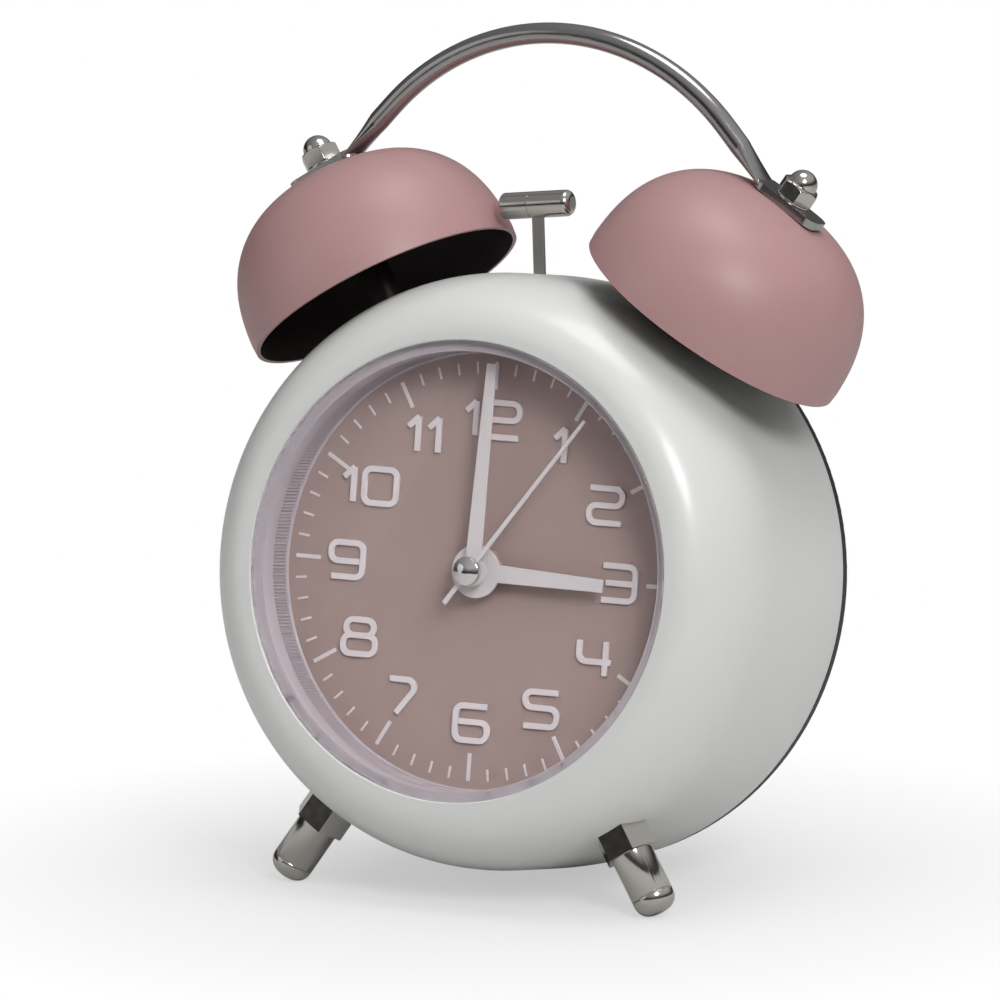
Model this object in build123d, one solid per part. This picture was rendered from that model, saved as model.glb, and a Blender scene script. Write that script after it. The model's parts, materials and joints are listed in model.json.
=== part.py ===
from build123d import *
from math import asin, cos, degrees, pi, radians, sin, sqrt, tan
import os

# Twin-bell alarm clock, in millimetres.
#
# Everything is drawn on an upright clock: X to the right, Y backwards along the dial's axis from the
# plane of the lens edge, Z up, with the hands' axis at X = 0, Z = 0. The last section leans the clock
# back on its two feet and the lower edge of its rear cover, and puts the middle of its footprint at
# the origin.

# ---------------------------------------------------------------- driving dimensions: case
CASE_R = 57.5              # widest radius of the case
CASE_REAR_R = 56.4         # radius at its rear edge
CASE_DEPTH = 55.0          # front lip to rear edge
WALL = 1.6                 # wall of the case
CASE_BOSS_LONG = 13.0      # columns for the rear screws
BOSS_PILOT_R = 0.9         # holes for the dial support's screws
FRONT_FLAT_R = 45.6        # where the rounded front edge starts
SHOULDER_Y = 21.0          # where the rounded front edge reaches the full radius
TAPER_Y = 36.0             # where the rear taper starts
COVER_THICK = 2.0
COVER_R = 56.2
SPIGOT_LENGTH = 5.0        # rim of the rear cover inside the case
SPIGOT_WALL = 1.4

# ---------------------------------------------------------------- front opening and dial
LENS_R = 44.0
LENS_THICK = 2.3
LENS_PROUD = 0.3           # how far the lens stands out of the case
LENS_EDGE = 0.5            # bevel round the lens
LEDGE_R = 42.6             # inner radius of the ledge that carries the lens
LEDGE_THICK = 1.9
RING_R = 41.9              # inner radius of the reflector ring
RING_FLANGE = 1.4
DIAL_Y = 12.4              # front of the dial
OPTIC_FIT = 0.1            # play of the ring in the ledge and of the lamp in its holes
LENS_FIT = 0.25            # play of the lens in its seat
DIAL_R = 48.4
DIAL_THICK = 0.6
SUPPORT_R = 54.0
SUPPORT_THICK = 1.4
SUPPORT_BOSS_R = 2.2
SUPPORT_BOSS_RADIAL = 51.0
MARK_OUTER_R = 40.0
HOUR_MARK = 5.3            # length of an hour mark
MINUTE_MARK = 2.3
HOUR_MARK_WIDE = 0.8
MINUTE_MARK_WIDE = 0.45
MARK_THICK = 0.15
NUMERAL_RING_R = 29.0
NUMERAL_HIGH = 7.7
NUMERAL_WIDE = 8.0
NUMERAL_STROKE = 1.15
NUMERAL_RAISED = 0.6
NUMERAL_CORNER = 1.5

# ---------------------------------------------------------------- hands, from the dial outwards
ALARM_HAND_Y = DIAL_Y - 1.9    # front face of each hand
HOUR_HAND_Y = DIAL_Y - 3.1
MINUTE_HAND_Y = DIAL_Y - 4.7
SECOND_HAND_Y = DIAL_Y - 6.3
HAND_THICK = 0.4
ALARM_HAND_LONG = 19.0
HOUR_HAND_LONG = 27.0
MINUTE_HAND_LONG = 39.8
SECOND_HAND_LONG = 37.7
SECOND_HAND_TAIL = 8.0
HOUR_ANGLE = 91.5          # clockwise from 12, where the hands stand
MINUTE_ANGLE = 1.5
SECOND_ANGLE = 36.3
CAP_R = 2.85
CAP_HIGH = 2.1

# ---------------------------------------------------------------- concentric tubes of the hands
RUN = 0.05                 # radial running clearance
ARBOR_R = 0.45
MINUTE_TUBE_R = 1.3
HOUR_TUBE_R = 2.1
ALARM_TUBE_R = 2.9
NECK_R = 3.5
TUBE_STANDS_OUT = 0.3      # how far a tube passes its hand
NUT_THICK = 1.2
NUT_FLATS = 8.4

# ---------------------------------------------------------------- movement housing and wheels
HOUSING_WIDE = 56.0
HOUSING_WALL = 1.2
HOUSING_DEEP = 15.6
HOUSING_CORNER = 4.0
SPLIT_AT = 7.2             # joint of its two halves, behind the inside of its front
# front and back of each wheel, pinion and post, behind the inside of the housing's front
ALARM_WHEEL_AT = (0.2, 1.2)
HOUR_WHEEL_AT = (1.8, 2.8)
HOUR_PINION_AT = (1.6, 3.8)
CANNON_AT = (3.4, 5.2)
MINUTE_WHEEL_AT = (3.8, 4.8)
TIME_SETTING_AT = (3.6, 5.0)
MINUTE_POST_END = 5.3
MINUTE_TUBE_END = 7.2
CENTRE_WHEEL_AT = (5.8, 6.8)
THIRD_PINION_AT = (5.6, 8.0)
THIRD_WHEEL_AT = (8.0, 8.8)
THIRD_POST_FROM = 5.4
SECOND_PINION_AT = (7.6, 10.0)
SECOND_WHEEL_AT = (10.0, 10.8)
FIFTH_PINION_AT = (9.8, 11.6)
FIFTH_WHEEL_AT = (11.6, 12.4)
FIFTH_POST_FROM = 9.6
ROTOR_PINION_AT = (11.0, 12.8)
MAGNET_AT = (8.2, 11.0)
ROTOR_POST_FROM = 8.0
STATOR_AT = (9.0, 10.0)
COIL_CORE_AT = (8.7, 10.3)
BOARD_AT = (1.0, 2.0)
CHIP_DEEP = 2.7
CRYSTAL_DEEP = 3.5
MAGNET_R = 2.8
STATOR_WIDE = 25.0
COIL_LONG = 15.0
COIL_R = 3.1
COIL_ABOVE = 8.5           # coil's middle above the rotor
BOARD_X = -14.0
BOARD_Z = -16.0
ADDENDUM = 0.8             # tooth heights, as shares of the module
DEDENDUM = 1.15
HAND_TRAIN = 9.0           # distance between cannon pinion and minute wheel
ALARM_TRAIN = 9.0          # distance between alarm wheel and its setting pinion
THIRD_TRAIN = 8.0          # distance between centre wheel and third wheel
FIFTH_TRAIN = 8.0          # distance between second wheel and fifth wheel
ROTOR_TRAIN = 7.0          # distance between fifth wheel and rotor
SETTING_ANGLE = 20.0       # direction of the setting stems above the horizontal
THIRD_ANGLE = -60.0
FIFTH_ANGLE = 60.0
ROTOR_ANGLE = 90.0
POST_R = 0.5               # fixed posts that the wheels turn on
ROTOR_POST_R = 0.35
STEM_R = 1.0
KNOB_R = 5.5
KNOB_THICK = 6.0
KNOB_CROWN = 1.5           # knob's material behind its stem
KNOB_GAP = 1.0             # between knob and rear cover
KNOB_FLUTES = 18
FLUTE_R = 0.55

# ---------------------------------------------------------------- bells, posts and handle
BELL_Y = 31.7
BELL_TILT = 32.4
BELL_GAP = 4.3             # rim's plane above the case, along the bell's axis
BELL_OFFSET = 2.2          # how far a bell's axis passes the dial's axis
BELL_R = 27.9
BELL_HIGH = 27.0
BELL_WALL = 1.1
BELL_FULLNESS = 2.5        # exponent of the dome's outline, 2 being an ellipse
POST_THREAD_R = 2.0
POST_BODY_R = 3.0
POST_FIT = 0.05
TAB_THICK = 1.6
TAB_WIDE = 7.4
TAB_LONG = 15.4            # flattened end of the handle
TAB_OVERLAP = 1.5          # where the round rod runs out into the flat
HANDLE_D = 4.1
HANDLE_R = 48.4            # radius of the arch
HANDLE_RISE = 30.34        # top of the arch above the bells' crowns
HANDLE_ARC = 48.0          # half angle of the round stretch
HANDLE_LEAN = 4.5          # the arch leans forward from the bells
HANDLE_STRAIGHT = 4.5      # straight stretch below the arc on each side
WASHER_THICK = 0.5
WASHER_R = 3.6
NUT_AF = 7.0               # acorn nuts, across flats
NUT_HIGH = 3.2
DOME_R = 2.9
INNER_NUT_HIGH = 2.6       # nuts inside the case

# ---------------------------------------------------------------- hammer and its drive
PIVOT_DEEP = 19.5          # pivot below the top of the case
HAMMER_Y = 31.7            # middle of the flat arm
ARM_WIDE = 2.4
ARM_THICK = 0.8
HEAD_REACH = 33.0          # pivot to the middle of the head
HEAD_D = 5.2
HEAD_LONG = 15.0
HEAD_SPLIT = -1.3          # seam of the head, from its middle
HAMMER_REST = -6.5         # lean of the arm at rest, towards the left bell
HAMMER_SWING = 8.5         # lean at which the head reaches either bell, short of touching it
SLOT_CLEAR = 0.8
CRANK_R = 2.2
CRANK_PIN_R = 0.8
TAIL_REACH = 12.0          # pivot to the drive gear's axis
DRIVE_TEETH = 32
PINION_TEETH = 8
DRIVE_TRAIN = 10.0
MOTOR_ANGLE = 30.0
MOTOR_R = 7.5
MOTOR_LONG = 15.0
BRACKET_Y = 36.0
BRACKET_THICK = 1.5
BRACKET_LEG_X = 22.0
BRACKET_LEG_Z = 22.0
DRIVE_GEAR_AT = (33.0, 34.6)
MOTOR_PINION_AT = (33.0, 35.2)
AXLE_FROM = 33.7

# ---------------------------------------------------------------- feet
FOOT_Y = 16.7
FOOT_SPLAY = 33.2          # from straight down
FOOT_END_R = 73.9          # clock's axis to the end of a foot
FOOT_D = 8.2
FOOT_COLLAR_AF = 9.6
FOOT_COLLAR_HIGH = 4.6
FOOT_EDGE = 2.8            # rounding of the foot's end
FOOT_STUD_R = 1.5
FOOT_NUT_AF = 5.5

# ---------------------------------------------------------------- rear face
CELL_R = 7.15              # AA cells
CELL_LONG = 49.3
CELL_NUB_R = 2.6
CELL_NUB = 1.2
CELL_TOP_Z = -17.0         # axis of the upper cell
CELL_APART = 1.7           # between the two cells
CELL_GAP = 0.35
BAY_WALL = 1.2
BAY_CONTACT = 0.5
SPRING_SPACE = 3.6
DOOR_THICK = 1.4
DOOR_MARGIN = 0.15
SCREW_RADIAL = 50.5
SCREW_R = 1.5
SCREW_HEAD_R = 3.0
SCREW_HEAD = 1.2
SCREW_LONG = 8.0
BOSS_R = 3.0
BUTTON_Z = 45.0
BUTTON_R = 4.0
BUTTON_TRAVEL = 1.5
BUTTON_FLANGE = 1.0
GUIDE_WALL = 1.0
GUIDE_LONG = 9.5
SPRING_R = 4.7
SPRING_WIRE = 0.25
SPRING_TURNS = 4
SWITCH_X = -17.0
SWITCH_Z = 25.0
SWITCH_TRAVEL = 4.0
LED_RADIAL = 45.2
LED_R = 1.5

parts = {}


# ---------------------------------------------------------------- shared shapes
def facing(y):
    """Plane across the dial's axis that looks to the front: X right, Y up."""
    return Plane(origin=(0, y, 0), x_dir=(1, 0, 0), z_dir=(0, -1, 0))


def slab(sketch, front, back):
    """A flat sketch as a plate from depth front to depth back."""
    return extrude(facing(back) * sketch, back - front)


def disc(radius, front, back, x=0.0, z=0.0):
    return slab(Pos(x, z) * Circle(radius), front, back)


def turned(points):
    """Solid of revolution about the dial's axis from (radius, depth) corners."""
    return revolve(make_face(Polyline(*points, close=True)), Axis.Y)


def polar(reach, angle):
    return reach * cos(radians(angle)), reach * sin(radians(angle))


def clock_polar(reach, angle):
    """X and Z of a point at a clock angle, clockwise from 12."""
    return reach * sin(radians(angle)), reach * cos(radians(angle))


def gear_sketch(teeth, module, phase, bore, x=0.0, z=0.0):
    """Toothed wheel with straight-sided teeth, one of them at angle phase."""
    pitch = 360 / teeth
    tip = module * (teeth / 2 + ADDENDUM)
    root = module * (teeth / 2 - DEDENDUM)
    outline = []
    for tooth in range(teeth):
        middle = phase + tooth * pitch
        for reach, share in ((root, -0.27), (tip, -0.1), (tip, 0.1), (root, 0.27)):
            outline.append(polar(reach, middle + share * pitch))
    wheel = make_face(Polyline(*outline, close=True))
    if bore:
        wheel -= Circle(bore)
    return Pos(x, z) * wheel


def mesh_phase(teeth_a, phase_a, angle, teeth_b):
    """Phase that puts a gap of gear b opposite the teeth of gear a, which lies at angle from a."""
    offset = (phase_a - angle) * teeth_a / teeth_b
    return angle + 180 - offset + 180 / teeth_b


def hexagon(flats):
    return RegularPolygon(flats / sqrt(3), 6)


# ---------------------------------------------------------------- case
def case_outline(offset):
    """Outer (offset 0) or inner line of the case from front to rear."""
    flat = FRONT_FLAT_R + (0.4 if offset else 0)
    front = LEDGE_THICK + lens_back() if offset else 0.0
    full = CASE_R - offset
    shoulder = SHOULDER_Y + (offset / 2)
    arc = EllipticalCenterArc((flat, shoulder), full - flat, shoulder - front, 270, arc_size=90)
    side = Line((full, shoulder), (full, TAPER_Y))
    taper = TangentArc((full, TAPER_Y), (CASE_REAR_R - offset, CASE_DEPTH), tangent=(0, 1))
    return [arc, side, taper], (flat, front)


def lens_back():
    return LENS_THICK - LENS_PROUD


def bell_along():
    """Distance from the dial's axis to a bell's rim plane, along the bell's axis."""
    return sqrt(CASE_R ** 2 - BELL_OFFSET ** 2) + BELL_GAP


def bell_frame(side):
    return Pos(0, BELL_Y, 0) * Rot(Y=side * BELL_TILT) * Pos(side * BELL_OFFSET, 0, bell_along())


def foot_frame(side):
    return Pos(0, FOOT_Y, 0) * Rot(Y=180 - side * FOOT_SPLAY)


def solid_case():
    outer, start = case_outline(0)
    closing = Polyline((CASE_REAR_R, CASE_DEPTH), (0, CASE_DEPTH), (0, 0), start)
    return revolve(make_face(outer + [closing]), Axis.Y)


def corner_angles():
    return (45, 135, 225, 315)


def pivot_z():
    return CASE_R - PIVOT_DEEP


def housing_front():
    return DIAL_Y + DIAL_THICK + SUPPORT_THICK


def housing_back():
    return housing_front() + HOUSING_DEEP


def make_case():
    outer, start = case_outline(0)
    inner, inner_start = case_outline(WALL)
    seat = LENS_R + LENS_FIT
    front = Polyline(start, (seat, 0), (seat, lens_back()), (LEDGE_R, lens_back()),
                     (LEDGE_R, lens_back() + LEDGE_THICK), inner_start)
    rear = Line((CASE_REAR_R, CASE_DEPTH), (CASE_REAR_R - WALL, CASE_DEPTH))
    shell = revolve(make_face(outer + [rear] + inner + [front]), Axis.Y)
    whole = solid_case()
    for angle in corner_angles():
        x, z = polar(SUPPORT_BOSS_RADIAL, angle)
        boss = disc(SUPPORT_BOSS_R, lens_back() + 0.5, DIAL_Y + DIAL_THICK, x, z) & whole
        boss -= disc(BOSS_PILOT_R, DIAL_Y - 4.4, DIAL_Y + DIAL_THICK, x, z)
        shell += boss
        x, z = polar(SCREW_RADIAL, angle)
        arm = slab(Pos(*polar(SCREW_RADIAL + 2, angle)) * Rot(Z=angle) * Rectangle(6, 2.4),
                   CASE_DEPTH - CASE_BOSS_LONG, CASE_DEPTH)
        column = disc(BOSS_R, CASE_DEPTH - CASE_BOSS_LONG, CASE_DEPTH, x, z) + arm & whole
        column -= disc(SCREW_R, CASE_DEPTH - SCREW_LONG, CASE_DEPTH, x, z)
        shell += column
    for side in (-1, 1):
        shell -= bell_frame(side) * Pos(0, 0, -BELL_GAP) * Cylinder(POST_THREAD_R + POST_FIT, 8)
        shell -= foot_frame(side) * Pos(0, 0, CASE_R) * Cylinder(FOOT_STUD_R + POST_FIT, 12)
    half = PIVOT_DEEP * tan(radians(HAMMER_SWING)) + ARM_WIDE / 2 + SLOT_CLEAR
    slot = Pos(0, HAMMER_Y, CASE_R) * Box(2 * half, ARM_THICK + 2 * SLOT_CLEAR, 8)
    return shell - slot


def make_lens():
    front, back = -LENS_PROUD, lens_back()
    return turned([(0, front), (LENS_R - LENS_EDGE, front), (LENS_R, front + LENS_EDGE), (LENS_R, back),
                   (0, back)])


def make_ring():
    front = lens_back() + OPTIC_FIT
    outer = LEDGE_R - OPTIC_FIT
    flange = DIAL_Y - RING_FLANGE
    ring = turned([(RING_R, front), (outer, front), (outer, flange), (DIAL_R, flange), (DIAL_R, DIAL_Y),
                   (RING_R, DIAL_Y)])
    return ring - disc(LED_R + OPTIC_FIT, flange, DIAL_Y, 0, LED_RADIAL)


def make_dial():
    dial = disc(DIAL_R, DIAL_Y, DIAL_Y + DIAL_THICK) - disc(NECK_R + RUN, DIAL_Y, DIAL_Y + DIAL_THICK)
    return dial - disc(LED_R + OPTIC_FIT, DIAL_Y, DIAL_Y + DIAL_THICK, 0, LED_RADIAL)


def make_marks():
    marks = []
    for minute in range(60):
        hour = minute % 5 == 0
        long = HOUR_MARK if hour else MINUTE_MARK
        wide = HOUR_MARK_WIDE if hour else MINUTE_MARK_WIDE
        bar = Rot(Z=-6 * minute) * Pos(0, MARK_OUTER_R - long / 2) * Rectangle(wide, long)
        marks.append(slab(bar, DIAL_Y - MARK_THICK, DIAL_Y))
    return Compound(marks)


# Strokes of each figure on a grid from -0.5 to 0.5; a figure's first value is its share of the width.
FIGURES = {
    "0": (1.0, [], [[(-.5, -.5), (.5, -.5), (.5, .5), (-.5, .5)]]),
    "1": (0.3, [[(-.5, .2), (.5, .5)], [(.5, .5), (.5, -.5)]], []),
    "2": (1.0, [[(-.5, .5), (.5, .5), (.5, 0), (-.5, 0), (-.5, -.5), (.5, -.5)]], []),
    "3": (1.0, [[(-.5, .5), (.5, .5), (.5, -.5), (-.5, -.5)], [(-.4, 0), (.5, 0)]], []),
    "4": (1.0, [[(-.5, .5), (-.5, -.1), (.5, -.1)], [(.32, .5), (.32, -.5)]], []),
    "5": (1.0, [[(.5, .5), (-.5, .5), (-.5, .04), (.5, .04), (.5, -.5), (-.5, -.5)]], []),
    "6": (1.0, [[(.45, .5), (-.5, .5), (-.5, -.5), (.5, -.5), (.5, .04), (-.4, .04)]], []),
    "7": (1.0, [[(-.5, .5), (.5, .5), (-.25, -.5)]], []),
    "8": (1.0, [], [[(-.43, .04), (.43, .04), (.43, .5), (-.43, .5)],
                    [(-.5, -.5), (.5, -.5), (.5, .04), (-.5, .04)]]),
    "9": (1.0, [[(-.45, -.5), (.5, -.5), (.5, .5), (-.5, .5), (-.5, -.04), (.4, -.04)]], []),
}


def figure_sketch(figure):
    share, open_strokes, closed_strokes = FIGURES[figure]
    wide = share * (NUMERAL_WIDE - NUMERAL_STROKE)
    high = NUMERAL_HIGH - NUMERAL_STROKE
    corner = min(NUMERAL_CORNER, wide / 4)
    lines = []
    for stroke in open_strokes:
        points = [(u * wide, v * high) for u, v in stroke]
        lines.append(Line(*points) if len(points) == 2 else FilletPolyline(*points, radius=corner))
    for stroke in closed_strokes:
        points = [(u * wide, v * high) for u, v in stroke]
        lines.append(FilletPolyline(*points, radius=corner, close=True))
    shape = Sketch()
    for line in lines:
        shape += trace(line, NUMERAL_STROKE)
    return shape, wide


def make_numerals():
    numerals = []
    for hour in range(1, 13):
        figures = [figure_sketch(figure) for figure in str(hour)]
        gap = 1.2 + NUMERAL_STROKE
        total = sum(figure[1] for figure in figures) + gap * (len(figures) - 1)
        squeeze = min(1, 1.4 * NUMERAL_WIDE / total)
        x, z = clock_polar(NUMERAL_RING_R, 30 * hour)
        left = -total * squeeze / 2
        for shape, wide in figures:
            middle = left + wide * squeeze / 2
            left += (wide + gap) * squeeze
            numerals.append(slab(Pos(x + middle, z) * shape, DIAL_Y - NUMERAL_RAISED, DIAL_Y))
    return Compound(numerals)


def make_support():
    front, back = DIAL_Y + DIAL_THICK, housing_front()
    plate = disc(SUPPORT_R, front, back) - disc(NECK_R + RUN, front, back)
    plate -= disc(LED_R + OPTIC_FIT, front, back, 0, LED_RADIAL)
    for side in (-1, 1):
        plate -= foot_frame(side) * Pos(0, 0, CASE_R - 8) * Cylinder(FOOT_NUT_AF / sqrt(3) + 0.6, 16)
    screws = []
    for angle in corner_angles():
        x, z = polar(SUPPORT_BOSS_RADIAL, angle)
        plate -= disc(BOSS_PILOT_R, front, back, x, z)
        screw = disc(BOSS_PILOT_R, DIAL_Y - 3.9, back, x, z) + disc(2 * BOSS_PILOT_R, back, back + 1.2, x, z)
        screws.append(screw)
    return plate, screws


# ---------------------------------------------------------------- hands
def hand_sketch(long, wide, tip_wide, hub, bore, tail=0.0):
    blade = make_face(Polyline((-wide / 2, -tail), (wide / 2, -tail), (tip_wide / 2, long),
                               (-tip_wide / 2, long), close=True))
    return blade + Circle(hub) - Circle(bore)


def make_hands():
    alarm = hand_sketch(ALARM_HAND_LONG, 1.8, 1.2, ALARM_TUBE_R + 1.3, ALARM_TUBE_R)
    hour = hand_sketch(HOUR_HAND_LONG, 3.6, 2.5, HOUR_TUBE_R + 3.0, HOUR_TUBE_R)
    minute = hand_sketch(MINUTE_HAND_LONG, 3.4, 2.1, MINUTE_TUBE_R + 1.6, MINUTE_TUBE_R)
    second = hand_sketch(SECOND_HAND_LONG, 1.0, 0.7, ARBOR_R + 2.05, ARBOR_R, SECOND_HAND_TAIL)
    hands = {}
    for name, y, angle, sketch in (("alarm_hand", ALARM_HAND_Y, HOUR_ANGLE, alarm),
                                   ("hour_hand", HOUR_HAND_Y, HOUR_ANGLE, hour),
                                   ("minute_hand", MINUTE_HAND_Y, MINUTE_ANGLE, minute),
                                   ("second_hand", SECOND_HAND_Y, SECOND_ANGLE, second)):
        hands[name] = slab(Rot(Z=-angle) * sketch, y, y + HAND_THICK)
    return hands


def make_cap():
    front = SECOND_HAND_Y - CAP_HIGH
    arc = EllipticalCenterArc((0, SECOND_HAND_Y - 0.5), CAP_R, SECOND_HAND_Y - 0.5 - front, 270, arc_size=90)
    edge = Polyline((CAP_R, SECOND_HAND_Y - 0.5), (CAP_R, SECOND_HAND_Y), (0, SECOND_HAND_Y), (0, front))
    return revolve(make_face([arc, edge]), Axis.Y) - disc(ARBOR_R, SECOND_HAND_Y - 0.6, SECOND_HAND_Y)


# ---------------------------------------------------------------- movement
def housing_floor():
    """Depth of the inside of the housing's front."""
    return housing_front() + HOUSING_WALL


def layer(sketch, span):
    """A flat sketch between two depths behind the inside of the housing's front."""
    return slab(sketch, housing_floor() + span[0], housing_floor() + span[1])


def gear(teeth, module, phase, span, bore=0.0, at=(0.0, 0.0)):
    return layer(gear_sketch(teeth, module, phase, bore, *at), span)


def time_stem_at():
    return polar(2 * HAND_TRAIN, SETTING_ANGLE)


def alarm_stem_at():
    return polar(ALARM_TRAIN, 180 - SETTING_ANGLE)


def third_at():
    return polar(THIRD_TRAIN, THIRD_ANGLE)


def fifth_at():
    return polar(FIFTH_TRAIN, FIFTH_ANGLE)


def rotor_at():
    along, rise = polar(ROTOR_TRAIN, ROTOR_ANGLE)
    return fifth_at()[0] + along, fifth_at()[1] + rise


def make_housing():
    front, floor, back = housing_front(), housing_floor(), housing_back()
    split, ceiling = floor + SPLIT_AT, back - HOUSING_WALL
    room_wide = HOUSING_WIDE - 2 * HOUSING_WALL
    box = RectangleRounded(HOUSING_WIDE, HOUSING_WIDE, HOUSING_CORNER)
    room = RectangleRounded(room_wide, room_wide, HOUSING_CORNER - HOUSING_WALL)
    stems = (time_stem_at(), alarm_stem_at())

    half = slab(box, front, split) - slab(room, floor, split)
    half += disc(NECK_R, DIAL_Y - NUT_THICK - 0.1, front)
    half -= disc(ALARM_TUBE_R + RUN, DIAL_Y - NUT_THICK - 1, floor)
    half += disc(POST_R, floor, floor + MINUTE_POST_END, *polar(HAND_TRAIN, SETTING_ANGLE))
    for at in stems:
        half -= disc(STEM_R + RUN, front, floor, *at)
    parts["movement_front"] = half
    nut = hexagon(NUT_FLATS) - Circle(NECK_R + RUN)
    parts["movement_nut"] = slab(nut, DIAL_Y - NUT_THICK, DIAL_Y)

    half = slab(box, split, back) - slab(room, split, ceiling)
    half += disc(POST_R, floor + THIRD_POST_FROM, ceiling, *third_at())
    half += disc(POST_R, floor + FIFTH_POST_FROM, ceiling, *fifth_at())
    half += disc(ROTOR_POST_R, floor + ROTOR_POST_FROM, ceiling, *rotor_at())
    half -= disc(ARBOR_R + RUN, ceiling, back)
    for at in stems:
        half -= disc(STEM_R + RUN, ceiling, back, *at)
    for side in (-1, 1):
        half -= disc(SCREW_R - 0.5, ceiling, back, side * BRACKET_LEG_X, BRACKET_LEG_Z)
    parts["movement_rear"] = half


def make_alarm_train():
    module = 2 * ALARM_TRAIN / 50
    direction = 180 - SETTING_ANGLE
    wheel = gear(40, module, direction, ALARM_WHEEL_AT)
    back = housing_floor() + ALARM_WHEEL_AT[1]
    tube = disc(ALARM_TUBE_R, ALARM_HAND_Y - TUBE_STANDS_OUT, back)
    parts["alarm_wheel"] = wheel + tube - disc(HOUR_TUBE_R + RUN, ALARM_HAND_Y - 1, back)
    phase = mesh_phase(40, direction, direction, 10)
    parts["alarm_setting_stem"] = setting_stem(10, module, phase, alarm_stem_at(), ALARM_WHEEL_AT)


def make_hand_train():
    slow = 2 * HAND_TRAIN / 50
    quick = 2 * HAND_TRAIN / 48
    floor = housing_floor()
    minute_at = polar(HAND_TRAIN, SETTING_ANGLE)
    back = floor + HOUR_WHEEL_AT[1]
    wheel = gear(40, slow, SETTING_ANGLE, HOUR_WHEEL_AT)
    wheel += disc(HOUR_TUBE_R, HOUR_HAND_Y - TUBE_STANDS_OUT, back)
    parts["hour_wheel"] = wheel - disc(MINUTE_TUBE_R + RUN, HOUR_HAND_Y - 1, back)
    pinion_phase = mesh_phase(40, SETTING_ANGLE, SETTING_ANGLE, 10)
    wheel_phase = mesh_phase(12, SETTING_ANGLE, SETTING_ANGLE, 36)
    wheel = gear(36, quick, wheel_phase, MINUTE_WHEEL_AT, POST_R + RUN, minute_at)
    pinion = gear(10, slow, pinion_phase, HOUR_PINION_AT, POST_R + RUN, minute_at)
    parts["minute_wheel"] = wheel + pinion
    tube_back = floor + MINUTE_TUBE_END
    cannon = gear(12, quick, SETTING_ANGLE, CANNON_AT)
    cannon += disc(MINUTE_TUBE_R, MINUTE_HAND_Y - TUBE_STANDS_OUT, tube_back)
    parts["cannon_pinion"] = cannon - disc(ARBOR_R + RUN, MINUTE_HAND_Y - 1, tube_back)
    phase = mesh_phase(36, wheel_phase, SETTING_ANGLE, 12)
    parts["time_setting_stem"] = setting_stem(12, quick, phase, time_stem_at(), TIME_SETTING_AT)


def make_seconds_train():
    """Centre wheel, third wheel, second wheel, fifth wheel and rotor."""
    outer_module = 2 * THIRD_TRAIN / 72
    inner_module = 2 * THIRD_TRAIN / 68
    fast = 2 * FIFTH_TRAIN / 40
    rotor_module = 2 * ROTOR_TRAIN / 68
    parts["centre_wheel"] = gear(64, outer_module, THIRD_ANGLE, CENTRE_WHEEL_AT, MINUTE_TUBE_R + RUN)
    phase = mesh_phase(64, THIRD_ANGLE, THIRD_ANGLE, 8)
    pinion = gear(8, outer_module, phase, THIRD_PINION_AT, POST_R + RUN, third_at())
    phase = mesh_phase(8, THIRD_ANGLE, THIRD_ANGLE, 60)
    wheel = gear(60, inner_module, phase, THIRD_WHEEL_AT, POST_R + RUN, third_at())
    parts["third_wheel"] = pinion + wheel
    pinion = gear(8, inner_module, THIRD_ANGLE, SECOND_PINION_AT)
    wheel = gear(32, fast, FIFTH_ANGLE, SECOND_WHEEL_AT)
    parts["second_wheel"] = pinion + wheel + disc(ARBOR_R, SECOND_HAND_Y - 0.6, housing_back() - 0.4)
    phase = mesh_phase(32, FIFTH_ANGLE, FIFTH_ANGLE, 8)
    pinion = gear(8, fast, phase, FIFTH_PINION_AT, POST_R + RUN, fifth_at())
    wheel = gear(60, rotor_module, ROTOR_ANGLE, FIFTH_WHEEL_AT, POST_R + RUN, fifth_at())
    parts["fifth_wheel"] = pinion + wheel
    phase = mesh_phase(60, ROTOR_ANGLE, ROTOR_ANGLE, 8)
    pinion = gear(8, rotor_module, phase, ROTOR_PINION_AT, ROTOR_POST_R + RUN, rotor_at())
    magnet = Circle(MAGNET_R) - Circle(ROTOR_POST_R + RUN)
    parts["rotor"] = pinion + layer(Pos(*rotor_at()) * magnet, MAGNET_AT)


def make_electrics():
    """Stator with its coil, circuit board with its chip and quartz crystal."""
    x, z = rotor_at()
    coil_z = z + COIL_ABOVE
    window = COIL_LONG + 3
    plate = Pos(x, (z + coil_z) / 2) * Rectangle(STATOR_WIDE, COIL_ABOVE + 7)
    plate -= Pos(x, coil_z) * Rectangle(window, 2 * COIL_R + 2)
    plate -= Pos(x, z) * Circle(MAGNET_R + 0.4)
    core_thick = COIL_CORE_AT[1] - COIL_CORE_AT[0]
    core = Pos(x, coil_z) * Rectangle(window, core_thick)
    parts["stator"] = layer(plate, STATOR_AT) + layer(core, COIL_CORE_AT)
    winding = Pos(x, housing_floor() + sum(COIL_CORE_AT) / 2, coil_z) * Rot(Y=90)
    parts["coil"] = winding * (Cylinder(COIL_R, COIL_LONG) - Box(core_thick, core_thick, COIL_LONG + 1))
    board = layer(Pos(BOARD_X, BOARD_Z) * Rectangle(20, 14), BOARD_AT)
    crystal = Pos(BOARD_X, housing_floor() + CRYSTAL_DEEP, BOARD_Z - 1) * Rot(Y=90) * Cylinder(1.5, 8)
    chip = Pos(BOARD_X, housing_floor() + CHIP_DEEP, BOARD_Z + 4) * Box(5, 1.4, 2.6)
    parts["circuit_board"] = Compound([board + chip, crystal])


def knob_front():
    return CASE_DEPTH + COVER_THICK + KNOB_GAP


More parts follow.
